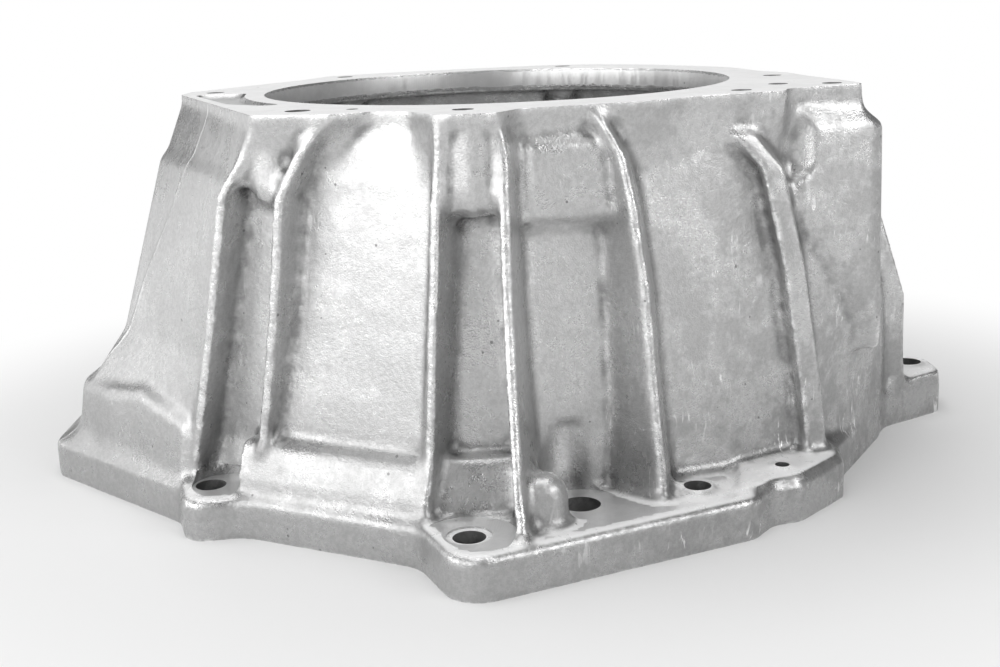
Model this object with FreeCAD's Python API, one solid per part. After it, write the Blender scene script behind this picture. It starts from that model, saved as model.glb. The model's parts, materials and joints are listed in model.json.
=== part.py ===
import FreeCAD, Part
import math
import os

os.makedirs("parts", exist_ok=True)

# ---------------------------------------------------------------------------
# Gearbox bell housing, one aluminium die casting.
# Frame: Z up along the axis of the top bore, engine face on Z = 0,
# X to the right and -Y towards the ribbed front side. Millimetres.
# ---------------------------------------------------------------------------

# --- main sizes -------------------------------------------------------------
HEIGHT = 175.0            # engine face to gearbox face
FLANGE_T = 18.0           # engine flange, up to the spot faces
FLANGE_EDGE = 2.2         # bevel on the flange's top edge
TOP_PLATE_T = 12.0        # gearbox flange
COLLAR_H = 16.0           # flare between the bell wall and the gearbox flange
RIM_H = 3.0               # upright rim over the flare
WALL_T = 6.5              # cast wall
LEDGE_Z = 40.0            # top of the raised skirt on the front
BLOCK_RISE = 11.5         # the skirt stands this much higher on the left
WAIST_Z = 70.0            # level where the bell's flare ends
RIB_BEND_Z = 85.0         # level where the ribs steepen
BORE_R = 109.0            # bore through the gearbox face
LUG_T = 22.0              # thickness of the far right lug
PAD_RISE = 2.0            # raised pad at the flange's right end

# --- bolt holes on the engine flange ------------------------------------------
BOLT_R = 6.5              # clearance for M12
LARGE_R = 8.0             # plain hole on the front flat
RING_HOLE_R = 5.6         # hole with the raised ring
SMALL_R = 3.0             # small locating hole
SPOT_R = 13.7             # spot face beside the left bolt hole
CORNER_SPOT_R = 19.0      # spot face on the front corner
LARGE_SPOT_R = 16.5       # flat round the plain hole
RING_SPOT_R = 16.5        # flat round the hole with the raised ring
BACK_SPOT_R = 13.0        # spot faces on the back
SPOT_CLEAR = 5.0          # height the spot facing cutter clears over the flange
LARGE_CLEAR = 32.0        # the same over the plain hole
RING_R = 9.2              # raised ring round the small bolt hole
RING_H = 0.8
SEAT_R = 9.0              # shallow seat in the corner spot face
SEAT_D = 0.8

HOLE_LEFT = (-128.8, -107.0)
SPOT_LEFT = (-122.8, -107.5)
HOLE_CORNER = (-17.5, -173.5)
HOLE_LARGE = (26.9, -145.6)
HOLE_RING = (75.1, -135.8)
HOLE_SMALL = (113.3, -117.7)
HOLE_LUG = (208.0, 23.5)
HOLES_BACK = [(154.0, 134.0), (47.0, 173.5), (-68.0, 172.0), (-185.0, 100.0)]

# --- holes on the gearbox face ----------------------------------------------------
TAP_R = 4.25              # tapping drill for M10
TAP_DEPTH = 24.0
TAP_BOSS_R = 9.0          # bosses under the tapped holes, inside the bell
TAP_BOSS_MARGIN = 4.0
DOWEL_R = 5.2
DOWEL_DEPTH = 14.0
PILOT_R = 2.4
PILOT_DEPTH = 12.0
POCKET_DEPTH = 2.5        # cast relief in the gearbox face
POCKET_RIM = 8.5          # machined ring left round the bore
DOWEL_HOLE = (-79.8, -110.5)
PILOT_HOLE = (-57.9, -112.0)
TAP_HOLES = [(-13.8, -132.0), (100.1, -90.5), (142.0, -71.5), (120.4, -64.9),
             (128.5, -12.5), (-136.0, 12.5), (38.0, 123.0), (-82.0, 99.0)]

# --- rib sizes -------------------------------------------------------------------
RIB_W = 5.0               # land of the slim ribs
RIB_WIDE_W = 11.0         # land of the broad rib on the right
RIB_DEPTH = 22.0          # land to root, the root lies inside the wall
RIB_LONG_DEPTH = 40.0     # the rib beside the front corner reaches further out
SIDE_DIR = (0.461, 0.887)     # pull of the front slide, into the wall
SQUARE_DIR = (0.20, 0.98)     # flanks of the rib beside the front corner

# --- pad on the front wall ---------------------------------------------------------
PAD_X = (11.0, 41.5)
PAD_FRONT = -136.0
PAD_LOW_Z = 133.0
PAD_H = 27.0
PAD_CHAMFER = 4.5

NECK_Z = HEIGHT - TOP_PLATE_T
COLLAR_Z = NECK_Z - COLLAR_H
BLOCK_Z = LEDGE_Z + BLOCK_RISE
ROOT_Z = FLANGE_T - 6.0
RIB_TOP_Z = HEIGHT - RIM_H - 1.0


# --- helpers ----------------------------------------------------------------
def vec(x, y, z=0.0):
    return FreeCAD.Vector(x, y, z)


def wire_of(points, z):
    """Closed straight sided outline at one height."""
    ring = [vec(p[0], p[1], z) for p in points]
    return Part.makePolygon(ring + [ring[0]])


def rounded_face(points):
    """Face on Z = 0 whose corners (x, y, radius) are rounded by arcs."""
    edges = []
    trims = []
    count = len(points)
    for i in range(count):
        here = vec(points[i][0], points[i][1])
        before = vec(points[i - 1][0], points[i - 1][1])
        after = vec(points[(i + 1) % count][0], points[(i + 1) % count][1])
        radius = points[i][2]
        d_in = (before - here).normalize()
        d_out = (after - here).normalize()
        half = d_in.getAngle(d_out) / 2.0
        reach = radius / math.tan(half)
        middle = (d_in + d_out).normalize()
        centre = here + middle * (radius / math.sin(half))
        crown = centre - middle * radius
        trims.append((here + d_in * reach, crown, here + d_out * reach))
    for i in range(count):
        start, crown, end = trims[i]
        edges.append(Part.Arc(start, crown, end).toShape())
        edges.append(Part.makeLine(end, trims[(i + 1) % count][0]))
    return Part.Face(Part.Wire(edges))


def inset(points, distance):
    """Counter clockwise outline moved inwards by a wall thickness."""
    moved = []
    count = len(points)
    for i in range(count):
        ax, ay = points[i - 1]
        bx, by = points[i]
        cx, cy = points[(i + 1) % count]
        l1 = math.hypot(bx - ax, by - ay)
        l2 = math.hypot(cx - bx, cy - by)
        n1 = (-(by - ay) / l1, (bx - ax) / l1)
        n2 = (-(cy - by) / l2, (cx - bx) / l2)
        scale = distance / (1.0 + n1[0] * n2[0] + n1[1] * n2[1])
        moved.append((bx + (n1[0] + n2[0]) * scale, by + (n1[1] + n2[1]) * scale))
    return moved


def lofted(sections):
    """Ruled solid through (z, outline) sections with equal corner counts."""
    wires = [wire_of(outline, z) for z, outline in sections]
    return Part.makeLoft(wires, True, True)


def rib(stations, width, depth, direction, side=(-0.887, 0.461)):
    """Rib with a flat land; stations give the land's right edge by height."""
    sections = []
    for z, x, y in stations:
        left = (x + side[0] * width, y + side[1] * width)
        back = (left[0] + direction[0] * depth, left[1] + direction[1] * depth)
        root = (x + direction[0] * depth, y + direction[1] * depth)
        sections.append((z, [left, (x, y), root, back]))
    return lofted(sections)


def skirt(stations):
    """Raised skirt; a station is foot, inward direction, step, ledge, top, reach."""
    wires = []
    for x, y, dx, dy, step, ledge, top, reach in stations:
        length = math.hypot(dx, dy)
        profile = [(0.0, ROOT_Z), (0.0, FLANGE_T + 0.5), (step, FLANGE_T + 7.0),
                   (ledge, top - 4.0), (ledge + 2.5, top), (reach, top), (reach, ROOT_Z)]
        ring = [vec(x + dx / length * a, y + dy / length * a, z) for a, z in profile]
        wires.append(Part.makePolygon(ring + [ring[0]]))
    return Part.makeLoft(wires, True, True)


def hole(centre, radius, z_low, z_high):
    return Part.makeCylinder(radius, z_high - z_low, vec(centre[0], centre[1], z_low))


def turned(centre, profile):
    """Solid of revolution about an upright axis; profile is (radius, height)."""
    ring = [vec(r, 0.0, z) for r, z in profile]
    face = Part.Face(Part.makePolygon(ring + [ring[0]]))
    solid = face.revolve(vec(0, 0, 0), vec(0, 0, 1), 360)
    solid.translate(vec(centre[0], centre[1]))
    return solid


def boss(centre, radius, z_low, z_high):
    """Round boss under the gearbox face with a rounded lower end."""
    return turned(centre, [(0.0, z_low - radius * 0.87), (radius * 0.5, z_low - radius * 0.87),
                           (radius * 0.87, z_low - radius * 0.5), (radius, z_low),
                           (radius, z_high), (0.0, z_high)])


def bump(centre, radius, z_top):
    """Upright round column with a rounded top."""
    return turned(centre, [(0.0, ROOT_Z), (radius, ROOT_Z), (radius, z_top - radius),
                           (radius * 0.87, z_top - radius * 0.5), (radius * 0.5, z_top - radius * 0.13),
                           (0.0, z_top - radius * 0.13)])


def below(p1, p2, p3, size=400.0):
    """Large block under the plane through three points."""
    normal = (p2 - p1).cross(p3 - p1).normalize()
    if normal.z < 0:
        normal = normal * -1.0
    block = Part.makeBox(size, size, size, vec(-size / 2, -size / 2, -size))
    turn = FreeCAD.Rotation(vec(0, 0, 1), normal)
    block.Placement = FreeCAD.Placement(p1, turn)
    return block


# --- engine flange ------------------------------------------------------------
FLANGE_OUTLINE = [
    (-218.0, -35.0, 12.0), (-144.0, -104.5, 6.0), (-136.5, -127.5, 10.0),
    (-113.0, -123.5, 20.0), (-38.0, -162.0, 16.0), (-21.5, -200.5, 15.0),
    (97.0, -146.0, 10.0), (107.0, -132.5, 8.0), (119.0, -129.5, 10.0),
    (143.5, -103.0, 5.0), (146.0, -84.0, 8.0), (171.0, -41.5, 60.0),
    (186.5, -12.0, 10.0), (222.0, 11.0, 9.0), (222.0, 38.0, 12.0),
    (194.0, 50.0, 14.0), (186.0, 104.0, 25.0), (176.0, 152.0, 18.0),
    (122.0, 158.0, 30.0), (66.0, 192.5, 17.0), (24.0, 190.0, 18.0),
    (-14.0, 176.0, 40.0), (-48.0, 189.0, 18.0), (-88.0, 191.0, 18.0),
    (-140.0, 146.0, 40.0), (-204.0, 122.0, 18.0), (-207.0, 72.0, 25.0),
    (-218.0, 40.0, 30.0)]

flange = rounded_face(FLANGE_OUTLINE).extrude(vec(0, 0, FLANGE_T))
rim_edges = []
for edge in flange.Edges:
    if edge.BoundBox.ZMin > FLANGE_T - 0.01:
        rim_edges.append(edge)
flange = flange.makeChamfer(FLANGE_EDGE, rim_edges)

# --- bell wall: outline by height -----------------------------------------------
WALL_FOOT = [
    (-197.0, -38.0), (-136.0, -98.0), (-125.5, -90.0), (-97.0, -105.0),
    (-93.7, -117.2), (-34.3, -148.1), (-23.0, -139.0), (6.0, -138.0),
    (56.0, -122.5), (92.0, -112.0), (113.0, -99.5), (132.0, -90.0),
    (152.0, -69.0), (168.0, -46.0), (180.0, -26.0), (187.0, -6.0),
    (189.0, 25.0), (176.0, 80.0), (130.0, 130.0), (50.0, 156.0),
    (-60.0, 156.0), (-140.0, 122.0), (-187.0, 68.0), (-198.0, 12.0)]
WALL_WAIST = [
    (-180.0, -30.0), (-126.0, -102.5), (-118.0, -93.5), (-92.0, -107.5),
    (-88.0, -117.0), (-31.5, -146.5), (-21.0, -137.5), (5.0, -136.0),
    (53.5, -121.8), (89.0, -111.6), (111.0, -99.0), (131.5, -92.0),
    (156.0, -74.0), (169.5, -48.0), (179.0, -26.0), (185.0, -6.0),
    (184.5, 25.0), (168.0, 77.0), (123.0, 124.0), (48.0, 150.0),
    (-56.0, 150.0), (-130.0, 116.0), (-172.0, 64.0), (-182.0, 14.0)]
WALL_HIGH = [
    (-160.0, -12.0), (-107.5, -112.5), (-102.0, -101.0), (-79.0, -111.5),
    (-73.0, -117.2), (-25.0, -142.0), (-19.0, -132.5), (4.0, -131.5),
    (50.0, -119.0), (82.0, -108.5), (104.0, -96.5), (124.0, -87.5),
    (150.0, -79.0), (160.5, -68.0), (161.0, -38.0), (156.0, -8.0),
    (149.0, 25.0), (138.0, 62.0), (101.0, 106.0), (43.0, 136.0),
    (-47.0, 135.0), (-108.0, 101.0), (-148.0, 54.0), (-160.0, 18.0)]
WALL_NECK = [
    (-148.5, -1.5), (-98.0, -118.0), (-92.0, -112.0), (-76.0, -116.0),
    (-66.0, -120.0), (-24.0, -139.0), (-18.0, -133.0), (5.0, -131.0),
    (52.0, -119.0), (80.0, -107.5), (104.0, -95.5), (121.0, -84.0),
    (138.0, -78.5), (151.0, -72.0), (147.5, -40.0), (138.0, -8.0),
    (135.0, 20.0), (126.0, 52.0), (90.0, 97.0), (38.0, 127.0),
    (-42.0, 125.0), (-98.0, 89.0), (-138.0, 42.0), (-149.0, 18.0)]


def bell(thickness, start):
    """The bell as a solid, its outline moved inwards by a thickness."""
    outlines = [(start, WALL_FOOT), (LEDGE_Z + 6.0, WALL_FOOT), (WAIST_Z, WALL_WAIST),
                (COLLAR_Z, WALL_HIGH), (NECK_Z, WALL_NECK)]
    if thickness > 0:
        outlines = [(z, inset(outline, thickness)) for z, outline in outlines]
    return lofted(outlines)


wall = bell(0.0, 0.0)
cavity = bell(WALL_T, -1.0)

# --- gearbox flange and the collar that flares into it ------------------------------
TOP_OUTLINE = [
    (-151.5, 6.0, 5.0), (-96.5, -124.0, 8.0), (-64.0, -133.0, 7.0),
    (-50.0, -127.0, 8.0), (-35.0, -132.5, 10.0), (-23.0, -152.5, 10.0),
    (-1.5, -153.0, 9.0), (8.0, -137.5, 8.0), (55.0, -126.0, 30.0),
    (80.0, -111.5, 20.0), (99.0, -105.0, 8.0), (116.5, -103.0, 7.0),
    (123.0, -89.5, 5.0), (154.0, -80.5, 5.0), (150.5, -58.0, 12.0),
    (142.0, -20.0, 12.0), (139.0, 4.0, 12.0), (129.0, 22.0, 20.0),
    (121.0, 60.0, 60.0), (86.0, 106.0, 60.0), (54.0, 131.0, 12.0),
    (26.0, 138.0, 12.0), (-20.0, 131.0, 60.0), (-66.0, 121.0, 20.0),
    (-92.0, 110.0, 12.0), (-104.0, 84.0, 30.0), (-136.0, 42.0, 40.0),
    (-150.0, 22.0, 8.0)]
COLLAR_LOW = [
    (-159.0, -9.0), (-107.0, -113.2), (-84.0, -111.0), (-70.5, -119.0),
    (-33.0, -138.2), (-25.0, -141.5), (-1.0, -133.0), (5.5, -130.5),
    (51.5, -118.0), (80.5, -107.5), (100.0, -97.5), (113.0, -94.5),
    (123.0, -86.0), (156.5, -79.0), (160.0, -62.0), (156.0, -18.0),
    (151.0, 4.0), (148.0, 24.0), (136.5, 62.0), (99.5, 105.5),
    (54.0, 131.0), (26.0, 135.0), (-20.0, 134.5), (-66.0, 125.0),
    (-94.0, 110.0), (-112.0, 93.0), (-147.0, 50.0), (-159.0, 18.0)]
top_face = rounded_face(TOP_OUTLINE)
top_rim = top_face.extrude(vec(0, 0, RIM_H))
top_rim.translate(vec(0, 0, HEIGHT - RIM_H))
collar_top = inset([(x, y) for x, y, radius in TOP_OUTLINE], 0.7)
collar = lofted([(COLLAR_Z - 1.0, COLLAR_LOW), (HEIGHT - RIM_H + 0.5, collar_top)])

# --- raised skirt over the flange ----------------------------------------------------
front_skirt = skirt([
    (-116.0, -119.0, 0.478, 0.878, 1.0, 5.0, LEDGE_Z, 26.0),
    (-34.5, -160.0, 0.478, 0.878, 1.0, 5.5, LEDGE_Z, 26.0)])
corner_skirt = skirt([
    (-33.0, -154.8, 0.10, 0.99, 1.0, 5.0, LEDGE_Z - 0.7, 25.0),
    (3.0, -153.0, 0.10, 0.99, 1.0, 5.0, LEDGE_Z - 0.7, 22.0)])
left_block = skirt([
    (-214.0, 44.0, 0.99, -0.10, 9.0, 12.0, BLOCK_Z - 7.0, 34.0),
    (-215.0, -30.0, 0.95, 0.30, 9.0, 12.0, BLOCK_Z - 5.0, 34.0),
    (-207.0, -42.0, 0.80, 0.60, 5.0, 8.0, BLOCK_Z - 4.5, 34.0),
    (-189.0, -58.5, 0.677, 0.736, 2.0, 5.0, BLOCK_Z - 3.5, 30.0),
    (-168.0, -78.0, 0.677, 0.736, 2.0, 5.0, BLOCK_Z, 24.0),
    (-142.0, -102.0, 0.677, 0.736, 1.0, 3.0, BLOCK_Z - 7.0, 14.0)])
channel_foot = skirt([
    (-131.3, -93.2, 0.461, 0.887, 2.5, 7.0, LEDGE_Z + 8.0, 13.0),
    (-99.8, -109.6, 0.461, 0.887, 2.5, 7.0, LEDGE_Z - 3.0, 13.0)])
back_skirt = skirt([
    (184.0, 66.0, -0.95, -0.20, 3.0, 6.0, LEDGE_Z - 4.0, 26.0),
    (128.0, 147.0, -0.60, -0.80, 3.0, 6.0, LEDGE_Z - 2.0, 28.0),
    (50.0, 173.0, -0.10, -0.99, 3.0, 6.0, LEDGE_Z - 2.0, 26.0),
    (-62.0, 173.0, 0.10, -0.99, 3.0, 6.0, LEDGE_Z - 2.0, 26.0),
    (-142.0, 139.0, 0.55, -0.83, 3.0, 6.0, LEDGE_Z - 2.0, 26.0),
    (-200.0, 84.0, 0.90, -0.43, 3.0, 6.0, LEDGE_Z, 26.0),
    (-214.0, 44.0, 0.99, -0.10, 9.0, 12.0, BLOCK_Z - 7.0, 30.0)])

# --- ribs ------------------------------------------------------------------------------
rib_1 = rib([(ROOT_Z + 2.0, -137.5, -102.0), (LEDGE_Z + 3.0, -131.0, -104.4),
             (RIB_BEND_Z, -122.0, -109.0), (COLLAR_Z - 4.0, -110.6, -115.5),
             (COLLAR_Z + 9.0, -101.5, -119.0), (RIB_TOP_Z, -93.5, -120.0)],
            RIB_W, RIB_DEPTH, (0.40, 0.915))
rib_2 = rib([(LEDGE_Z - 5.0, -102.5, -122.0), (LEDGE_Z + 4.0, -100.6, -122.7),
             (RIB_BEND_Z + 7.0, -92.5, -126.5), (COLLAR_Z - 5.0, -86.0, -129.0),
             (COLLAR_Z + 11.0, -77.5, -130.5), (RIB_TOP_Z, -67.5, -131.8)],
            RIB_W, RIB_DEPTH, SIDE_DIR)
rib_3 = rib([(LEDGE_Z - 12.0, -32.5, -157.5), (LEDGE_Z + 4.0, -30.8, -154.0),
             (RIB_BEND_Z + 22.0, -26.4, -152.5), (COLLAR_Z - 5.0, -24.0, -151.5),
             (COLLAR_Z + 9.0, -22.5, -151.0), (RIB_TOP_Z, -21.5, -151.3)],
            RIB_W - 0.5, RIB_DEPTH - 4.0, (0.42, 0.907))
rib_4 = rib([(ROOT_Z + 2.0, 4.8, -186.0), (LEDGE_Z - 6.0, 3.6, -175.0),
             (RIB_BEND_Z - 18.0, 2.8, -165.0), (RIB_BEND_Z + 21.0, 2.4, -157.5),
             (COLLAR_Z - 3.0, 2.6, -152.5), (COLLAR_Z + 12.0, 2.8, -150.5),
             (RIB_TOP_Z, 0.5, -149.5)],
            RIB_W - 0.5, RIB_LONG_DEPTH, SQUARE_DIR, (-1.0, 0.0))
rib_6 = rib([(ROOT_Z + 2.0, 137.5, -98.5), (LEDGE_Z + 6.0, 134.0, -99.5),
             (RIB_BEND_Z + 18.0, 125.0, -102.5), (COLLAR_Z - 3.0, 115.5, -104.0),
             (COLLAR_Z + 12.0, 103.0, -104.0)],
            RIB_WIDE_W, RIB_DEPTH, (0.10, 0.995), (-0.9, -0.2))

rib_5_sections = []
for z, x, y, spread in [(ROOT_Z + 2.0, 62.5, -147.0, 20.0), (RIB_BEND_Z - 17.0, 58.4, -141.5, 18.0),
                        (RIB_BEND_Z + 15.0, 56.4, -139.5, 17.0), (COLLAR_Z - 11.0, 51.8, -137.5, 13.0),
                        (COLLAR_Z + 8.0, 47.8, -135.0, 8.0), (NECK_Z + 8.0, 39.0, -132.5, 4.5)]:
    rib_5_sections.append((z, [(x - spread, y + 16.0), (x - 3.5, y + 0.8), (x, y),
                               (x + 5.0, y + 26.0), (x - spread, y + 26.0)]))
rib_5 = lofted(rib_5_sections)

# --- bosses, pad and lobes ----------------------------------------------------------------
boss_left = boss((-90.8, -111.4), 9.6, COLLAR_Z - 1.0, RIB_TOP_Z)
boss_front = boss((-11.0, -139.5), 11.5, COLLAR_Z - 2.0, RIB_TOP_Z)

pad_back = PAD_FRONT + 24.0
pad = lofted([
    (PAD_LOW_Z - 6.0, [(PAD_X[0], PAD_FRONT + 6.0), (PAD_X[1], PAD_FRONT + 12.0),
                       (PAD_X[1], pad_back), (PAD_X[0], pad_back)]),
    (PAD_LOW_Z, [(PAD_X[0], PAD_FRONT), (PAD_X[1], PAD_FRONT + 6.0),
                 (PAD_X[1], pad_back), (PAD_X[0], pad_back)]),
    (PAD_LOW_Z + PAD_H, [(PAD_X[0], PAD_FRONT), (PAD_X[1], PAD_FRONT + 6.0),
                         (PAD_X[1], pad_back), (PAD_X[0], pad_back)]),
    (PAD_LOW_Z + PAD_H + PAD_CHAMFER, [(PAD_X[0], PAD_FRONT + PAD_CHAMFER),
                                       (PAD_X[1], PAD_FRONT + 6.0 + PAD_CHAMFER),
                                       (PAD_X[1], pad_back), (PAD_X[0], pad_back)])])

lobe_foot = WAIST_Z - 12.0
right_lobe = lofted([
    (lobe_foot, [(122.0, -80.0), (124.5, -96.0), (159.0, -83.0), (164.5, -78.0), (166.0, -58.0), (140.0, -46.0)]),
    (NECK_Z - 5.0, [(122.0, -80.0), (124.0, -94.5), (157.5, -82.5), (162.5, -78.0), (163.0, -60.0), (140.0, -46.0)]),
    (NECK_Z + 3.0, [(122.0, -80.0), (124.0, -90.0), (151.5, -80.3), (153.0, -78.0), (151.0, -60.0), (140.0, -46.0)])])
lobe_trim = below(vec(133.0, -93.0, lobe_foot + 62.0), vec(164.0, -82.0, lobe_foot + 18.0),
                  vec(150.0, -66.0, lobe_foot - 20.0))
right_lobe = right_lobe.cut(lobe_trim)
scoop_z = COLLAR_Z - 4.0
scoop = Part.makeCylinder(8.5, HEIGHT, vec(125.5, -98.5, scoop_z))
scoop = scoop.fuse(Part.makeCone(3.5, 8.5, 7.0, vec(125.5, -98.5, scoop_z - 7.0)))

lug_web = lofted([
    (8.0, [(176.0, -11.0), (198.5, -5.0), (197.5, 5.0), (174.0, 4.0)]),
    (RIB_BEND_Z - 19.0, [(174.0, -11.0), (197.0, -5.0), (195.5, 5.0), (172.0, 4.0)]),
    (RIB_BEND_Z + 37.0, [(160.0, -11.0), (179.0, -6.0), (177.5, 4.0), (158.0, 4.0)])])

lug_pad = rounded_face([(188.5, -10.0, 1.0), (221.5, 11.3, 8.7), (221.5, 37.7, 11.7),
                        (196.0, 48.3, 4.0), (180.0, 30.0, 1.0)]).extrude(vec(0, 0, LUG_T))
small_pad = rounded_face([(91.0, -139.0, 3.0), (101.0, -137.5, 5.0), (108.0, -129.5, 5.0),
                          (118.5, -126.5, 6.0), (141.0, -102.5, 4.0), (143.0, -86.0, 4.0),
                          (132.0, -80.0, 4.0),
                          (100.0, -98.0, 4.0)]).extrude(vec(0, 0, FLANGE_T + PAD_RISE))

foot_bumps = [bump((11.5, -161.5), 10.0, LEDGE_Z - 1.0), bump((14.5, -138.0), 12.0, LEDGE_Z + 3.0)]
ring = Part.makeCylinder(RING_R, FLANGE_T + RING_H, vec(HOLE_RING[0], HOLE_RING[1], 0))

# --- join ---------------------------------------------------------------------------------
body = wall
for piece in [flange, collar, top_rim, front_skirt, corner_skirt, left_block, channel_foot, back_skirt,
              rib_1, rib_2, rib_3, rib_4, rib_5, rib_6, boss_left, boss_front, pad, right_lobe, lug_web, lug_pad, small_pad] + foot_bumps:
    body = body.fuse(piece)

# --- open the inside and machine the faces ---------------------------------------------------
pocket = Part.Face(wire_of([(-145.0, 0.0), (-117.0, -64.0), (-100.0, -78.0), (-90.0, -78.0),
                            (-110.0, 0.0)], HEIGHT - POCKET_DEPTH)).extrude(vec(0, 0, POCKET_DEPTH + 1.0))
pocket = pocket.cut(hole((0.0, 0.0), BORE_R + POCKET_RIM, 0.0, HEIGHT + 2.0))
cuts = [cavity, pocket, scoop,
        hole((0.0, 0.0), BORE_R, NECK_Z - 2.0, HEIGHT + 1.0),
        hole(SPOT_LEFT, SPOT_R, FLANGE_T, FLANGE_T + SPOT_CLEAR),
        hole(HOLE_CORNER, CORNER_SPOT_R, FLANGE_T, FLANGE_T + SPOT_CLEAR),
        hole(HOLE_LARGE, LARGE_SPOT_R, FLANGE_T, FLANGE_T + LARGE_CLEAR),
        hole(HOLE_RING, RING_SPOT_R, FLANGE_T, FLANGE_T + SPOT_CLEAR)]
for centre in HOLES_BACK:
    cuts.append(hole(centre, BACK_SPOT_R, FLANGE_T, FLANGE_T + LARGE_CLEAR))
for cut in cuts:
    body = body.cut(cut)
print("open", len(body.Solids), body.isValid())
tap_bosses = []
for centre in TAP_HOLES[1:2] + TAP_HOLES[3:]:
    column = hole(centre, TAP_BOSS_R, HEIGHT - TAP_DEPTH - TAP_BOSS_MARGIN, NECK_Z + 1.0)
    tap_bosses.append(column.common(wall))
for piece in tap_bosses + [ring]:
    body = body.fuse(piece)
print("bosses", len(body.Solids), body.isValid())

drill_top = FLANGE_T + LARGE_CLEAR
drills = [hole(HOLE_CORNER, SEAT_R, FLANGE_T - SEAT_D, FLANGE_T + 1.0),
          hole(HOLE_LARGE, LARGE_R, -1.0, drill_top),
          hole(HOLE_RING, RING_HOLE_R, -1.0, drill_top),
          hole(HOLE_SMALL, SMALL_R, -1.0, drill_top),
          hole(DOWEL_HOLE, DOWEL_R, HEIGHT - DOWEL_DEPTH, HEIGHT + 1.0),
          hole(PILOT_HOLE, PILOT_R, HEIGHT - PILOT_DEPTH, HEIGHT + 1.0)]
for centre in [HOLE_LEFT, HOLE_CORNER, HOLE_LUG] + HOLES_BACK:
    drills.append(hole(centre, BOLT_R, -1.0, FLANGE_T + SPOT_CLEAR))
for centre in TAP_HOLES:
    drills.append(hole(centre, TAP_R, HEIGHT - TAP_DEPTH, HEIGHT + 1.0))
body = body.cut(drills)
body = body.removeSplitter()
solids = body.Solids
print("solids", len(solids), [round(s.Volume) for s in solids], "valid", body.isValid())
housing = solids[0]
housing.exportStep("parts/bell_housing.step")
box = housing.optimalBoundingBox()
print("box", [round(v, 2) for v in (box.XMin, box.XMax, box.YMin, box.YMax, box.ZMin, box.ZMax)])
print("faces", len(housing.Faces))
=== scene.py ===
import json
import math
import bmesh
import bpy
import numpy as np
from mathutils import Matrix, Vector
from mathutils.kdtree import KDTree


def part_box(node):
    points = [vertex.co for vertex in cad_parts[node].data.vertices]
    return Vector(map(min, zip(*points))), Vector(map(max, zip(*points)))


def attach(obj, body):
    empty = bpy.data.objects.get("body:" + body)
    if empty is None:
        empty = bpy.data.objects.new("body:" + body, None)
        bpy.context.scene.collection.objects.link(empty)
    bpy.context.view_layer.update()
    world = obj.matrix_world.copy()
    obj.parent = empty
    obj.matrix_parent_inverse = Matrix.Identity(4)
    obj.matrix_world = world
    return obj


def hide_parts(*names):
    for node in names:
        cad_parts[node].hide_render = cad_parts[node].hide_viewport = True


# %% [markdown]
# # Dressing a die cast bell housing
# The solid comes from the CAD step with sharp, flat faces. A real casting looks
# different: molten metal leaves every inside and outside corner rounded, and
# only the faces that were machined afterwards have crisp edges. This lesson
# follows the foundry's own order: first the rounded raw casting, then the
# milled faces and drilled holes, then the finish of each kind of surface.

# %% Load the frame and note the size
NODE = "bell_housing"
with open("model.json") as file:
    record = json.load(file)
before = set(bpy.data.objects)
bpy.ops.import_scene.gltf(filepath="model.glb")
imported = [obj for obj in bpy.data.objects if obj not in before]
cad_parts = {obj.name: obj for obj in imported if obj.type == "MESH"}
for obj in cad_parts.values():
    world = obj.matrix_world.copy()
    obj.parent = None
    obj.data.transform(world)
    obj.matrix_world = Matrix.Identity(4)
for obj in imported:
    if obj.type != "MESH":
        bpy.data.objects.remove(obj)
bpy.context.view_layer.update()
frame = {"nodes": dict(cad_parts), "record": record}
cad = frame["nodes"][NODE]
mounts = {m["name"]: m for m in frame["record"]["mounts"]}
LOW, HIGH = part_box(NODE)
print("CAD box", [round(v, 4) for v in LOW], [round(v, 4) for v in HIGH])
print("mounts", len(mounts))

# %% [markdown]
# ## The raw casting
# A raw casting has stock left on the faces that will be milled, and no drilled
# holes. Both are made on a copy of the CAD mesh, and the stock comes first: the
# flat faces at the top and the bottom are pulled out a little. Scaling the part
# would be the other way, but it would move the walls too.

# %% Copy the CAD mesh and leave stock on the milled faces
STOCK = 0.002             # metal left on for milling
FLAT = 0.0002             # how level a face has to be to count as flat
WELD = 0.00001            # corners nearer than this are one corner

raw = bpy.data.objects.new("casting", cad.data.copy())
bpy.context.scene.collection.objects.link(raw)
bm = bmesh.new()
bm.from_mesh(raw.data)
bmesh.ops.remove_doubles(bm, verts=bm.verts, dist=WELD)


def pull_face(bm, height, step):
    """Extrudes the flat faces at one height along Z."""
    flat = [f for f in bm.faces if all(abs(v.co.z - height) < FLAT for v in f.verts)]
    made = bmesh.ops.extrude_face_region(bm, geom=flat)
    moved = [g for g in made["geom"] if isinstance(g, bmesh.types.BMVert)]
    bmesh.ops.translate(bm, verts=moved, vec=(0.0, 0.0, step))
    bmesh.ops.delete(bm, geom=flat, context="FACES_ONLY")
    return len(flat)


print("top faces", pull_face(bm, HIGH.z, STOCK))
print("bottom faces", pull_face(bm, LOW.z, -STOCK))

# %% [markdown]
# ## Plugs in the holes
# The holes are drilled later, with crisp edges, so the raw casting is closed
# where they will be. Each hole has a mount in the frame with its place, radius
# and length. A cylinder a little wider than the hole fills it, and the remesh
# in the next step melts it into the wall.

# %% Plug the holes
GRIP = 0.0006             # how far a plug reaches into the wall of its hole
SHORT = 0.0002            # how far its lower end stays inside
HOLES = [m for m in mounts.values() if "r_mm" in m["dims"] and m["name"] != "gearbox_bore"]


def hole_of(mount):
    """Centre, radius, lower end and upper end of a mount's hole, in metres."""
    x, y, z = mount["pos_m"]
    half = mount["dims"]["length_mm"] / 2000
    return (x, y), mount["dims"]["r_mm"] / 1000, z - half, z + half


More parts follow.
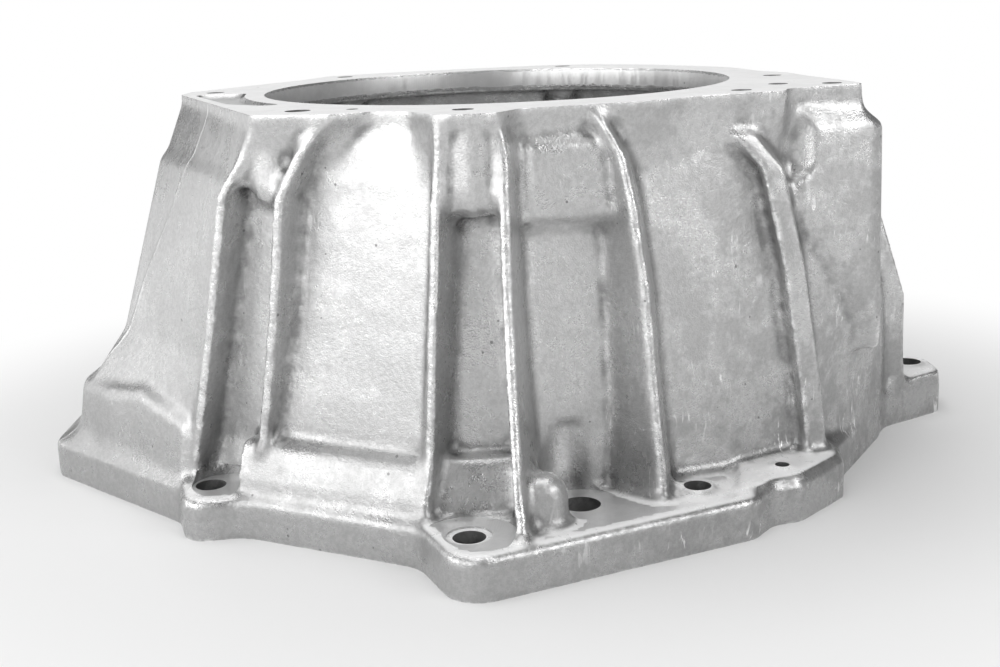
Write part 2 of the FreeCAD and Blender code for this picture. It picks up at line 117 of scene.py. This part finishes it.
def upright(bm, centre, radius, low, high, segments=48):
    """A closed cylinder along Z between two heights."""
    place = Matrix.Translation((centre[0], centre[1], (low + high) / 2))
    bmesh.ops.create_cone(bm, cap_ends=True, segments=segments, radius1=radius,
                          radius2=radius, depth=high - low, matrix=place)


for m in HOLES:
    centre, radius, low, high = hole_of(m)
    upright(bm, centre, radius + GRIP, low + SHORT, high + STOCK)
bm.to_mesh(raw.data)
bm.free()
print("plugs", len(HOLES), "faces", len(raw.data.polygons))

# %% [markdown]
# ## One even skin
# Melt flows round every corner, so a casting has a small fillet wherever two
# faces meet. A bevel on the CAD edges would be one way, but it breaks where
# many faces meet at small angles, as they do at the feet of the ribs. Here a
# voxel remesh makes one even skin. The skin is grown and then shrunk by the
# same amount, which fills the inside corners and leaves the rest where it was,
# and a smoothing filter rounds the outside edges.

# %% Remesh, fill the corners and round the edges
VOXEL = 0.0013
FILLET = 0.0024           # radius that the melt leaves in an inside corner
ROUNDS = 6                # passes of the smoothing filter


def apply_all(obj):
    """Turns an object's modifiers into its mesh."""
    shown = obj.evaluated_get(bpy.context.evaluated_depsgraph_get())
    mesh = bpy.data.meshes.new_from_object(shown)
    obj.modifiers.clear()
    obj.data = mesh
    return len(mesh.polygons)


def skin(obj, offset=0.0):
    """Moves the surface along its normals, then builds one even skin."""
    if offset:
        push = obj.modifiers.new("push", "DISPLACE")
        push.strength = offset
        push.mid_level = 0.0
    even = obj.modifiers.new("even", "REMESH")
    even.mode = "VOXEL"
    even.voxel_size = VOXEL
    return apply_all(obj)


print("skin faces", skin(raw))
print("grown", skin(raw, FILLET))
print("shrunk back", skin(raw, -FILLET))
soft = raw.modifiers.new("soft", "SMOOTH")
soft.factor = 0.5
soft.iterations = ROUNDS
print("rounded", apply_all(raw))

# %% [markdown]
# ## Ridges and hollows
# Handling polishes the outside corners of a casting; the skin also gets painted
# highlights on them and painted shade in the inside ones. A number for each point
# says how far it stands out from its neighbours: above zero on a ridge, below zero
# in a hollow. The Bevel node in a shader could find edges too, but an exported model
# loses it. The number is worked out on the even skin, where all points are equally far apart.

# %% Measure ridges and hollows
BLUR = 0.0022             # how far a ridge's or hollow's number spreads, with its polish, painted highlight or painted shade


def read_rows(source, key, count, width, kind):
    """One property of all points or edges, as rows of an array."""
    flat = np.empty(count * width, kind)
    source.foreach_get(key, flat)
    return flat.reshape(-1, width)


def bulge(mesh):
    """Each point's place, and how sharply it stands out, per 100 mm."""
    n = len(mesh.vertices)
    co = read_rows(mesh.vertices, "co", n, 3, np.float32)
    no = read_rows(mesh.vertices, "normal", n, 3, np.float32)
    ends = read_rows(mesh.edges, "vertices", len(mesh.edges), 2, np.int32)
    count = np.bincount(ends.ravel(), minlength=n).astype(np.float32)

    def around(values):
        """The mean of each point's neighbours."""
        total = np.bincount(ends[:, 0], values[ends[:, 1]], n)
        total += np.bincount(ends[:, 1], values[ends[:, 0]], n)
        return total / count

    middle = np.stack([around(co[:, k]) for k in range(3)], 1)
    bend = 4.0 * ((co - middle) * no).sum(1) / VOXEL ** 2 / 10.0
    for _ in range(max(1, round(1.5 * (BLUR / VOXEL) ** 2))):
        bend = (bend + around(bend)) / 2
    return co, bend


skin_points, skin_bulge = bulge(raw.data)
print("bulge", [round(float(v), 2) for v in np.percentile(skin_bulge, [1, 5, 20, 50, 80, 95, 99])])

# %% [markdown]
# ## Machining
# The mill and the drills come next. Each tool is a closed shape in one cutter
# mesh, and a boolean takes the cutter away from the casting. That gives faces
# and holes the crisp edges that only a cut has. Tools that overlap on one axis,
# such as a seat and its drill, go into separate cuts, because a hole can be lost
# where two tools of one cutter overlap.

# %% Make the cutter
cutter = bpy.data.objects.new("cutter", bpy.data.meshes.new("cutter"))
bpy.context.scene.collection.objects.link(cutter)


def cut(fill, operation="DIFFERENCE"):
    """Runs one boolean with the tools that fill() puts into the cutter."""
    bm = bmesh.new()
    fill(bm)
    bm.to_mesh(cutter.data)
    bm.free()
    mill = raw.modifiers.new("mill", "BOOLEAN")
    mill.operation = operation
    mill.solver = "MANIFOLD"
    mill.object = cutter
    return apply_all(raw)


# %% Mill the top and the bottom
WIDE = 0.7                # wider than the part
DEEP = 0.02               # deeper than the stock


def slab(bm, low, high):
    """A flat block wider than the part."""
    place = Matrix.Translation((0.0, 0.0, (low + high) / 2))
    size = Matrix.Diagonal((WIDE, WIDE, high - low, 1.0))
    bmesh.ops.create_cube(bm, size=1.0, matrix=place @ size)


def face_tools(bm):
    """The cutter's path over the gearbox face and under the engine face."""
    slab(bm, HIGH.z, HIGH.z + DEEP)
    slab(bm, LOW.z - DEEP, LOW.z)


print("faced", cut(face_tools))

# %% [markdown]
# ## Spot faces, ring and seat
# A bolt head needs a flat seat square to its hole, so a short cutter faces a
# disc round it. One hole keeps a raised ring instead, which is put on by a
# union with its rim bevelled, and the corner hole has a shallow seat for a
# washer. All of them are cylinders on the mounts' own axes, so that they follow
# the holes if those move.

# %% Cut the spot faces
FLANGE_TOP = hole_of(mounts["engine_bolt_left"])[3]
SPOTS = {                 # hole: radius, height cut clear above the flange, shift of the centre
    "engine_bolt_left": (0.0137, 0.005, (0.006, -0.0005)),
    "engine_bolt_corner": (0.0190, 0.005, (0.0, 0.0)),
    "flange_hole_plain": (0.0165, 0.012, (0.0, 0.0))}
for name in mounts:
    if name.startswith(("engine_bolt_back", "engine_bolt_rear")):
        SPOTS[name] = (0.0130, 0.012, (0.0, 0.0))


def spot_tools(bm):
    """A flat disc cutter over each bolt hole of the engine flange."""
    for name, (radius, clear, shift) in SPOTS.items():
        centre = [a + b for a, b in zip(mounts[name]["pos_m"], shift)]
        upright(bm, centre, radius, FLANGE_TOP, FLANGE_TOP + clear, 96)


print("flange top", round(FLANGE_TOP, 4), "spot faced", cut(spot_tools))

# %% Add the raised ring and cut the washer seat
RING_R = 0.0092
RING_ROOT = 0.004         # how deep the ring reaches into the flange
RING_RIM = 0.0007         # rounding of its rim
SEAT_R = 0.0090
SEAT_CLEAR = 0.003


def ring_tools(bm):
    """The raised ring round one hole, with its rim rounded."""
    centre, _, _, top = hole_of(mounts["flange_hole_ring"])
    upright(bm, centre, RING_R, FLANGE_TOP - RING_ROOT, top, 96)
    rim = [e for e in bm.edges if all(v.co.z > FLANGE_TOP for v in e.verts)]
    bmesh.ops.bevel(bm, geom=rim, offset=RING_RIM, segments=3, profile=0.5,
                    affect="EDGES", material=-1)


def seat_tools(bm):
    """The washer seat, down to the upper end of the corner hole."""
    centre, _, _, floor = hole_of(mounts["engine_bolt_corner"])
    upright(bm, centre, SEAT_R, floor, FLANGE_TOP + SEAT_CLEAR, 64)


print("ring added", cut(ring_tools, "UNION"))
print("seat cut", cut(seat_tools))

# %% [markdown]
# ## Holes and bore
# The flange holes go right through, and the tapped holes in the gearbox face
# are blind, so they end where their mounts end. The large bore is turned last,
# with many sides, because its edge is the longest crisp line on the part.

# %% Drill and bore
THROUGH = 0.02            # how far a drill passes out below the flange
DRILL_CLEAR = 0.004       # how far it starts above the face
BORE_DEPTH = 0.014
BORE_CLEAR = 0.01
BORE_R = hole_of(mounts["gearbox_bore"])[1]


def drill_tools(bm):
    """One drill for each hole."""
    for m in HOLES:
        centre, radius, low, high = hole_of(m)
        through = THROUGH if m["name"].startswith(("engine", "flange")) else 0.0
        upright(bm, centre, radius, low - through, high + DRILL_CLEAR)


def bore_tools(bm):
    """The boring bar's path in the gearbox face."""
    upright(bm, mounts["gearbox_bore"]["pos_m"], BORE_R, HIGH.z - BORE_DEPTH,
            HIGH.z + BORE_CLEAR, 256)


print("drilled", cut(drill_tools))
print("bored", cut(bore_tools))
bpy.data.objects.remove(cutter)

# %% [markdown]
# ## A lighter mesh
# The even skin has far more faces than the flat walls need. Decimate merges
# them where the surface is flat and keeps them where it bends. The ridge and
# hollow numbers were measured before the cuts, so each point takes the one of
# the nearest point of the skin. Edges sharper than an angle stay crisp: those are
# the machined ones, because everything cast is rounded by now.

# %% Thin the mesh
LIMIT = 190000            # triangles
CRISP = 38                # degrees between faces, from which an edge stays sharp


def triangles(mesh):
    """How many triangles a mesh has once its faces are split."""
    return sum(len(p.vertices) - 2 for p in mesh.polygons)


count = triangles(raw.data)
if count > LIMIT:
    thin = raw.modifiers.new("thin", "DECIMATE")
    thin.ratio = LIMIT / count
    apply_all(raw)
print("triangles", count, "->", triangles(raw.data))

# %% Hand the ridge and hollow numbers over and say what the piece is
nearest = KDTree(len(skin_points))
for i, p in enumerate(skin_points):
    nearest.insert(p, i)
nearest.balance()
ridge_and_hollow_value = raw.data.attributes.new("bulge", "FLOAT", "POINT")
near = [nearest.find(v.co)[1] for v in raw.data.vertices]
ridge_and_hollow_value.data.foreach_set("value", skin_bulge[near].astype(np.float32))

raw.data.name = "casting"
raw.data.shade_smooth()
bpy.context.view_layer.objects.active = raw
raw.select_set(True)
bpy.ops.object.shade_smooth_by_angle(angle=math.radians(CRISP))
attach(raw, "root")
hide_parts(NODE)
print("points with wear", len(near))

# %% [markdown]
# ## Shared surface effects
# Two finishes meet on this part, the cast skin and the milled faces. Both use
# the same effects at different strengths, so each effect is a node group with
# named sockets. A group puts out one number, and each material decides what
# that number does. Copying the nodes into each material would be the other way,
# but then a change has to be made in several places. A few helpers come first,
# because node code gets long without them.

# %% Helpers for numbers in a node tree
def link_or_set(tree, value, socket):
    """Puts a number on a socket, or links an output to it."""
    if isinstance(value, (int, float)):
        socket.default_value = value
    else:
        tree.links.new(value, socket)


def math_node(tree, operation, a, b=None):
    """A Math node on links or numbers; gives its output socket."""
    made = tree.nodes.new("ShaderNodeMath")
    made.operation = operation
    for i, v in enumerate((a, b)):
        if v is not None:
            link_or_set(tree, v, made.inputs[i])
    return made.outputs[0]


def times(tree, a, b):
    """a multiplied by b."""
    return math_node(tree, "MULTIPLY", a, b)


def plus(tree, a, b):
    """a and b added up."""
    return math_node(tree, "ADD", a, b)


def minus(tree, a, b):
    """b taken away from a."""
    return math_node(tree, "SUBTRACT", a, b)


def ramp(tree, value, low, high, start=0.0, stop=1.0):
    """start below low, stop above high, smooth between."""
    made = tree.nodes.new("ShaderNodeMapRange")
    made.interpolation_type = "SMOOTHSTEP"
    for name, v in (("From Min", low), ("From Max", high), ("To Min", start), ("To Max", stop)):
        link_or_set(tree, v, made.inputs[name])
    tree.links.new(value, made.inputs["Value"])
    return made.outputs["Result"]


# %% Helpers for groups and patterns
def group(name, inputs):
    """A new node group with a place input, number inputs and one number output."""
    made = bpy.data.node_groups.new(name, "ShaderNodeTree")
    made.interface.new_socket("Place", in_out="INPUT", socket_type="NodeSocketVector")
    for label, value in inputs:
        socket = made.interface.new_socket(label, in_out="INPUT", socket_type="NodeSocketFloat")
        socket.default_value = value
    made.interface.new_socket("Value", in_out="OUTPUT", socket_type="NodeSocketFloat")
    return made, made.nodes.new("NodeGroupInput").outputs, made.nodes.new("NodeGroupOutput").inputs


def noise(tree, place, scale, detail=3.0, rough=0.55, warp=0.0):
    """A noise pattern; gives a number around one half."""
    made = tree.nodes.new("ShaderNodeTexNoise")
    made.inputs["Scale"].default_value = scale
    made.inputs["Detail"].default_value = detail
    made.inputs["Roughness"].default_value = rough
    made.inputs["Distortion"].default_value = warp
    tree.links.new(place, made.inputs["Vector"])
    return made.outputs["Fac"]


def scaled(tree, place, size):
    """Squeezed and turned coordinates, so that a pattern becomes streaks."""
    made = tree.nodes.new("ShaderNodeMapping")
    made.inputs["Scale"].default_value = size
    made.inputs["Rotation"].default_value = (0.5, 0.9, 0.3)
    tree.links.new(place, made.inputs["Vector"])
    return made.outputs["Vector"]


# %% [markdown]
# ## Grain and stains
# Under a lens the skin of a die casting is a fine orange peel, printed by the
# coating of the die. That is two noises of different size, mixed by how coarse
# the grain should be. Over it lie slow stains from the oil and water sprayed
# into the die, which is a slow noise with a faster one for ragged edges.

# %% Grain
grain, given, result = group("grain", [("Coarse", 0.4)])
coarse = times(grain, noise(grain, given["Place"], 520.0, 3.0, 0.6), given["Coarse"])
fine = times(grain, noise(grain, given["Place"], 1700.0, 2.0),
             minus(grain, 1.0, given["Coarse"]))
grain.links.new(plus(grain, coarse, fine), result["Value"])

# %% Stains
clouds, given, result = group("clouds", [("Low", 0.45), ("High", 0.56)])
slow = times(clouds, noise(clouds, given["Place"], 34.0, 4.0, 0.6), 0.5)
ragged = times(clouds, noise(clouds, given["Place"], 120.0, 6.0, 0.7), 0.5)
clouds.links.new(ramp(clouds, plus(clouds, slow, ragged), given["Low"], given["High"]),
                 result["Value"])

# %% [markdown]
# ## Pores and scuffs
# Gas leaves small pores in a casting, in loose clusters. They are the middles
# of Voronoi cells, made larger where a slow noise is high and gone elsewhere.
# Scuffs are the light lines that crates and other castings leave. A noise on
# squeezed coordinates gives short lines in one direction, and a second noise
# keeps them to a few areas.

# %% Pores
specks, given, result = group("specks", [("Size", 0.10)])
cells = specks.nodes.new("ShaderNodeTexVoronoi")
cells.inputs["Scale"].default_value = 170.0
specks.links.new(given["Place"], cells.inputs["Vector"])
cluster = ramp(specks, noise(specks, given["Place"], 46.0, 2.0), 0.50, 0.68)
reach = times(specks, given["Size"], cluster)
specks.links.new(math_node(specks, "LESS_THAN", cells.outputs["Distance"], reach),
                 result["Value"])

# %% Scuffs
scuffs, given, result = group("scuffs", [("Amount", 0.5)])
streaks = noise(scuffs, scaled(scuffs, given["Place"], (1.0, 1.0, 0.22)), 260.0, 4.0, 0.7, 1.2)
line = ramp(scuffs, streaks, 0.57, 0.63)
where = ramp(scuffs, noise(scuffs, given["Place"], 38.0, 3.0), 0.52, 0.66)
scuffs.links.new(times(scuffs, times(scuffs, line, where), given["Amount"]), result["Value"])
print("groups", [g.name for g in bpy.data.node_groups])

# %% [markdown]
# ## The cast skin
# A die cast skin is grey, slightly rough and half dull, because a thin oxide
# covers it. Stains make it darker in places, painted shade darkens the hollows
# and the foot of the walls, handling polish and painted highlights make the ridges
# bright, and the upward faces of the flange get painted light. One noise for
# everything would be quick, but then nothing would follow the shape. Here each
# cause is one step that mixes the tone so far with another tone, from the mask
# that a group or the ridge and hollow number gives.

# %% Helpers for a finish
def blend_tone(tree, under, over, mask):
    """Lays one grey over another through a mask."""
    made = tree.nodes.new("ShaderNodeMix")
    made.data_type = "FLOAT"
    link_or_set(tree, under, made.inputs["A"])
    link_or_set(tree, over, made.inputs["B"])
    link_or_set(tree, mask, made.inputs["Factor"])
    return made.outputs["Result"]


def effect(tree, kind, place, **values):
    """Puts a shared effect into a material, with its own values."""
    made = tree.nodes.new("ShaderNodeGroup")
    made.node_tree = kind
    tree.links.new(place, made.inputs["Place"])
    for name, value in values.items():
        link_or_set(tree, value, made.inputs[name])
    return made.outputs["Value"]


def new_finish(name, metallic):
    """An empty material; gives it, its tree, its shader and the place on the part."""
    made = bpy.data.materials.new(name)
    made.use_nodes = True
    shader = made.node_tree.nodes["Principled BSDF"]
    shader.inputs["Metallic"].default_value = metallic
    place = made.node_tree.nodes.new("ShaderNodeTexCoord").outputs["Object"]
    return made, made.node_tree, shader, place


def parts_of(tree, vector):
    """The X, Y and Z outputs of a vector."""
    made = tree.nodes.new("ShaderNodeSeparateXYZ")
    tree.links.new(vector, made.inputs[0])
    return made.outputs


def bump(tree, height, distance, shader):
    """Turns a height into small tilts of the surface."""
    made = tree.nodes.new("ShaderNodeBump")
    made.inputs["Distance"].default_value = distance
    tree.links.new(height, made.inputs["Height"])
    tree.links.new(made.outputs["Normal"], shader.inputs["Normal"])


# %% Masks on the cast skin
SKIN_METAL = 0.90         # how metallic the bare skin is
cast_skin, tree, shader, place = new_finish("cast_skin", SKIN_METAL)
X, Y, Z = parts_of(tree, place)
bend = tree.nodes.new("ShaderNodeAttribute")
bend.attribute_name = "bulge"
ridge = ramp(tree, bend.outputs["Fac"], 8.0, 26.0)
painted_shade_hollow = ramp(tree, bend.outputs["Fac"], -4.0, -15.0)

normal = tree.nodes.new("ShaderNodeNewGeometry").outputs["Normal"]
faces_up = ramp(tree, parts_of(tree, normal)["Z"], 0.80, 0.97)
on_flange = times(tree, faces_up, ramp(tree, Z, 0.026, 0.030, 1.0, 0.0))
in_pocket = times(tree, faces_up, ramp(tree, Z, 0.150, 0.160))
cloud = effect(tree, clouds, place)
speck = effect(tree, specks, place, Size=0.11)

# %% Tone of the skin, with painted shade low down and painted light on the flange
SKIN_TONE = 0.64
STAIN_TONE = 0.38
FLANGE_PAINTED_LIGHT_TONE = 0.94        # the flat flange is dull; its pale tone on upward faces is painted light
stain = times(tree, cloud, ramp(tree, X, 0.0, 0.10, 0.14, 0.52))
tone = blend_tone(tree, SKIN_TONE, STAIN_TONE, stain)
fleck = ramp(tree, effect(tree, grain, place, Coarse=0.6), 0.40, 0.60, 0.90, 1.04)
tone = times(tree, tone, fleck)
# painted shade: darker towards the bottom, where the walls meet the flange
tone = times(tree, tone, ramp(tree, Z, 0.014, 0.080, 0.74, 1.0))
# painted light: the upward faces of the flange are made paler
tone = blend_tone(tree, tone, FLANGE_PAINTED_LIGHT_TONE, times(tree, on_flange, 0.95))

# %% Painted shade in hollows, scuffs, rubbed ridges with painted highlights, and pores on it
HOLLOW_SHADE_AND_PORE_TONE = 0.20
SCUFF_TONE = 0.95
RUB_AND_HIGHLIGHT_TONE = 0.96
POCKET_TONE = 0.58
patchy = ramp(tree, noise(tree, place, 110.0, 4.0, 0.7), 0.3, 0.6, 0.25, 0.80)
# painted shade: the hollows are darkened in patches, where shade falls
tone = blend_tone(tree, tone, HOLLOW_SHADE_AND_PORE_TONE, times(tree, painted_shade_hollow, patchy))
scuffed = effect(tree, scuffs, place, Amount=ramp(tree, X, 0.0, 0.1, 0.25, 0.85))
tone = blend_tone(tree, tone, SCUFF_TONE, scuffed)
broken = ramp(tree, noise(tree, place, 190.0, 6.0, 0.75), 0.42, 0.58, 0.0, 0.80)
# rubbed ridges: handling polish, with a painted highlight along the edges
rub_and_highlight = times(tree, ridge, broken)
tone = blend_tone(tree, tone, RUB_AND_HIGHLIGHT_TONE, rub_and_highlight)
tone = blend_tone(tree, tone, POCKET_TONE, in_pocket)
tone = blend_tone(tree, tone, HOLLOW_SHADE_AND_PORE_TONE, times(tree, speck, 0.8))
tree.links.new(tone, shader.inputs["Base Color"])

# %% Gloss of the cast skin
SKIN_ROUGH = 0.27
metal = minus(tree, SKIN_METAL, times(tree, on_flange, 0.72))
tree.links.new(metal, shader.inputs["Metallic"])
gloss = plus(tree, times(tree, cloud, 0.10), SKIN_ROUGH)
gloss = plus(tree, gloss, times(tree, in_pocket, 0.25))
gloss = minus(tree, gloss, times(tree, rub_and_highlight, 0.10))
tree.links.new(gloss, shader.inputs["Roughness"])
print("cast skin nodes", len(tree.nodes))

# %% [markdown]
# ## Relief of the cast skin
# The surface of a casting is never quite flat: it has the grain, slow waves
# where the metal shrank, a ragged burr along the ridges and a thin raised line
# where the two halves of the die met. All of it is far below a millimetre, so
# it is bump on the shader and no geometry.

# %% Seam, waves, burr and grain
RELIEF = 0.0012           # metres of height for a bump of one
seam_place = plus(tree, ramp(tree, Z, 0.090, 0.155, 0.0325, 0.0485),
                  times(tree, noise(tree, place, 60.0, 2.0), 0.003))
off_seam = math_node(tree, "ABSOLUTE", plus(tree, Y, seam_place))
seam = times(tree, ramp(tree, off_seam, 0.0004, 0.0010, 1.0, 0.0),
             ramp(tree, X, -0.06, -0.08))
waves = noise(tree, place, 42.0, 2.0)
burr = times(tree, noise(tree, place, 640.0, 3.0, 0.6), times(tree, ridge, 0.30))
rise = times(tree, effect(tree, grain, place, Coarse=0.5), 0.26)
rise = plus(tree, rise, times(tree, waves, 0.7))
rise = plus(tree, rise, burr)
rise = plus(tree, rise, times(tree, seam, 0.35))
rise = minus(tree, rise, times(tree, speck, 0.4))
bump(tree, rise, RELIEF, shader)

# %% [markdown]
# ## The milled faces
# A milling cutter leaves a bright face with faint arcs. It is paler and more
# even than the skin, with few stains, and the only marks on it are the arcs and
# the pores that the cut has opened. The arcs are bump from rings round a point
# outside the part, so that only a gently bent stretch of each ring shows.

# %% Milled metal
MILLED_TONE = 0.86
ARC_CENTRE = (0.31, 0.12, 0.0)      # shift from the part's own axis to the rings' axis
milled, tree, shader, place = new_finish("milled", 0.75)
tone = blend_tone(tree, MILLED_TONE, 0.70, times(tree, effect(tree, clouds, place), 0.35))
pores = times(tree, effect(tree, specks, place, Size=0.13), 0.7)
tone = blend_tone(tree, tone, 0.40, pores)
tree.links.new(tone, shader.inputs["Base Color"])
gloss = times(tree, effect(tree, grain, place, Coarse=0.2), 0.16)
tree.links.new(plus(tree, gloss, 0.24), shader.inputs["Roughness"])

rings = tree.nodes.new("ShaderNodeTexWave")
rings.wave_type = "RINGS"
rings.rings_direction = "Z"
rings.inputs["Scale"].default_value = 320.0
rings.inputs["Distortion"].default_value = 2.0
shift = tree.nodes.new("ShaderNodeMapping")
shift.inputs["Location"].default_value = ARC_CENTRE
tree.links.new(place, shift.inputs["Vector"])
tree.links.new(shift.outputs["Vector"], rings.inputs["Vector"])
bump(tree, rings.outputs["Fac"], 0.00002, shader)
print("milled nodes", len(tree.nodes))

# %% [markdown]
# ## Inside the holes
# Drilled and tapped walls stay dull. Their dark tone is painted shade, as shade
# falls inside a hole, so they are darker than the milled faces round them.
# Little of them shows, so the stains alone are enough.

# %% Drilled metal
drilled, tree, shader, place = new_finish("drilled", 0.85)
# painted shade: a dark tone on the hole walls, varied by the stains
tone = blend_tone(tree, 0.20, 0.34, effect(tree, clouds, place))
tree.links.new(tone, shader.inputs["Base Color"])
shader.inputs["Roughness"].default_value = 0.5

# %% [markdown]
# ## Which face gets which finish
# The booleans don't say which faces they made, so the faces are told apart by
# where they lie. A face that points straight up or down exactly at a milled
# height was milled, and one that stands on a hole's radius was drilled. What
# is left is cast skin. Painting them by hand would have to be done again after
# each change.

# %% Tell the machined faces apart
TIGHT = 0.00003           # how near to its height a milled face lies
ON_BORE = 0.0003          # how near to its radius the bore's wall lies
ON_HOLE = 0.0004
BORE_WALL = 0.013         # height of the bore's turned wall


def is_milled(face):
    """True for faces left by the mill and the boring bar."""
    c, n = face.center, face.normal
    if n.z > 0.999 and (abs(c.z - HIGH.z) < TIGHT or abs(c.z - FLANGE_TOP) < TIGHT):
        return True
    if n.z < -0.999 and abs(c.z - LOW.z) < TIGHT:
        return True
    on_wall = abs(math.hypot(c.x, c.y) - BORE_R) < ON_BORE
    return abs(n.z) < 0.02 and c.z > HIGH.z - BORE_WALL and on_wall


def is_drilled(face):
    """True for the walls of the small holes."""
    c, n = face.center, face.normal
    if abs(n.z) < 0.1:
        for m in HOLES:
            (x, y), radius, low, high = hole_of(m)
            off = abs(math.hypot(c.x - x, c.y - y) - radius)
            if off < ON_HOLE and low < c.z < high:
                return True
    return False


# %% Give each face its finish
raw.data.materials.clear()
for finish in (cast_skin, milled, drilled):
    raw.data.materials.append(finish)
finishes = [0, 0, 0]
for face in raw.data.polygons:
    face.material_index = 1 if is_milled(face) else 2 if is_drilled(face) else 0
    finishes[face.material_index] += 1
print("cast, milled, drilled faces", finishes)

# %% [markdown]
# ## Camera
# The part is seen from the front at table height, with a slight tilt. A long
# way off with a long lens would flatten it, so the camera stands near. Its
# three directions are worked out from two angles, because that keeps pitch and
# roll apart, which Euler angles typed in by hand don't.

# %% Camera
EYE = (-0.00288, -0.660, 0.2204)
PITCH, ROLL = 14.26, -2.18          # degrees down, and degrees to the side
FOCAL, SENSOR = 49.32, 36.0         # millimetres


def look(camera, place, pitch, roll):
    """Turns a camera down by pitch and sideways by roll, in degrees."""
    c, s = math.cos(math.radians(pitch)), math.sin(math.radians(pitch))
    cr, sr = math.cos(math.radians(roll)), math.sin(math.radians(roll))
    ahead, right, up = Vector((0, c, -s)), Vector((1, 0, 0)), Vector((0, s, c))
    side, top = cr * right + sr * up, -sr * right + cr * up
    camera.location = place
    camera.rotation_euler = Matrix((side, top, -ahead)).transposed().to_euler()


lens = bpy.data.cameras.new("camera")
lens.lens = FOCAL
lens.sensor_width = SENSOR
lens.clip_end = 100.0
camera = bpy.data.objects.new("camera", lens)
bpy.context.scene.collection.objects.link(camera)
look(camera, EYE, PITCH, ROLL)
bpy.context.scene.camera = camera
print("camera", [round(v, 4) for v in camera.rotation_euler])

# %% [markdown]
# ## Paper
# Bare metal shows what stands around it, so the studio is part of its look. A
# white paper floor reaches far out, with a sheet of paper behind. The paper
# shows as white to the camera and in reflections, and is lit like any other
# surface near the part, so that the part keeps its shadow. A bright lamp on the
# paper would whiten it too, but would also bleach the metal.

# %% Paper material
PAPER_GREY = 0.80
WHITE_FROM, WHITE_BY = 0.19, 0.42   # distances between which the floor turns white


def paper_material(name, near, far):
    """Lit paper near the part, plain white from a distance."""
    made = bpy.data.materials.new(name)
    made.use_nodes = True
    tree = made.node_tree
    sheet = tree.nodes["Principled BSDF"]
    sheet.inputs["Base Color"].default_value = (PAPER_GREY, PAPER_GREY, PAPER_GREY, 1)
    sheet.inputs["Roughness"].default_value = 0.9
    sheet.inputs["Specular IOR Level"].default_value = 0.1
    glow = tree.nodes.new("ShaderNodeEmission")
    path = tree.nodes.new("ShaderNodeLightPath").outputs
    away = tree.nodes.new("ShaderNodeVectorMath")
    away.operation = "LENGTH"
    tree.links.new(tree.nodes.new("ShaderNodeTexCoord").outputs["Object"], away.inputs[0])
    away = away.outputs["Value"]
    eye = times(tree, path["Is Camera Ray"], ramp(tree, away, near, far))
    other = math_node(tree, "MAXIMUM", path["Is Glossy Ray"], path["Is Transmission Ray"])
    other = times(tree, other, ramp(tree, away, 4 * near, 4 * far))
    blend = tree.nodes.new("ShaderNodeMixShader")
    tree.links.new(math_node(tree, "MAXIMUM", eye, other), blend.inputs[0])
    tree.links.new(sheet.outputs[0], blend.inputs[1])
    tree.links.new(glow.outputs[0], blend.inputs[2])
    tree.links.new(blend.outputs[0], tree.nodes["Material Output"].inputs["Surface"])
    return made


paper = paper_material("paper", WHITE_FROM, WHITE_BY)

# %% Floor and backdrop
FLOOR = 80.0              # so wide that its end is never seen
WALL, WALL_BACK = 2.5, 2.6          # size of the backdrop, and its distance


def sheet_of_paper(name, size, matrix):
    """A flat square of paper."""
    mesh = bpy.data.meshes.new(name)
    bm = bmesh.new()
    bmesh.ops.create_grid(bm, x_segments=1, y_segments=1, size=size / 2, matrix=matrix)
    bm.to_mesh(mesh)
    bm.free()
    obj = bpy.data.objects.new(name, mesh)
    bpy.context.scene.collection.objects.link(obj)
    mesh.materials.append(paper)
    return obj


sheet_of_paper("floor", FLOOR, Matrix.Translation((0, 0, LOW.z)))
stand = Matrix.Translation((0, WALL_BACK, WALL / 2 + LOW.z))
sheet_of_paper("backdrop", WALL, stand @ Matrix.Rotation(math.radians(90), 4, "X"))
print("floor", FLOOR, "backdrop", WALL)

# %% [markdown]
# ## Softboxes
# A wide softbox stands to the left and the front, a second one further left,
# a smaller one on the right, and one hangs above. That gives bright fronts and
# darker right flanks without any paint. Small lamps would be stronger for their
# size, but on metal they show as hard spots.

# %% Softboxes
AIM = (0, 0, 0.10)        # the middle of the part
ROOM = 0.17               # light of the room itself
SOFTBOXES = {             # place, power in watts, width, height
    "window": ((-1.18, -1.12, 0.56), 17.5, 2.4, 0.95),
    "left": ((-1.60, 0.30, 0.62), 6.2, 1.6, 1.1),
    "side": ((1.27, -1.00, 0.80), 10.5, 1.2, 0.9),
    "ceiling": ((-0.2, -0.1, 1.8), 19, 2.0, 1.4)}


def softbox(name, place, power, width, height):
    """A rectangular lamp that faces the part."""
    light = bpy.data.lights.new(name, "AREA")
    light.energy = power
    light.shape = "RECTANGLE"
    light.size = width
    light.size_y = height
    obj = bpy.data.objects.new(name, light)
    bpy.context.scene.collection.objects.link(obj)
    obj.location = place
    obj.rotation_euler = (Vector(AIM) - Vector(place)).to_track_quat("-Z", "Y").to_euler()


for name, values in SOFTBOXES.items():
    softbox(name, *values)
world = bpy.data.worlds.new("studio")
bpy.context.scene.world = world
world.use_nodes = True
world.node_tree.nodes["Background"].inputs["Color"].default_value = (ROOM, ROOM, ROOM, 1)
bpy.context.scene.view_settings.view_transform = "Standard"
print("softboxes", len(SOFTBOXES))
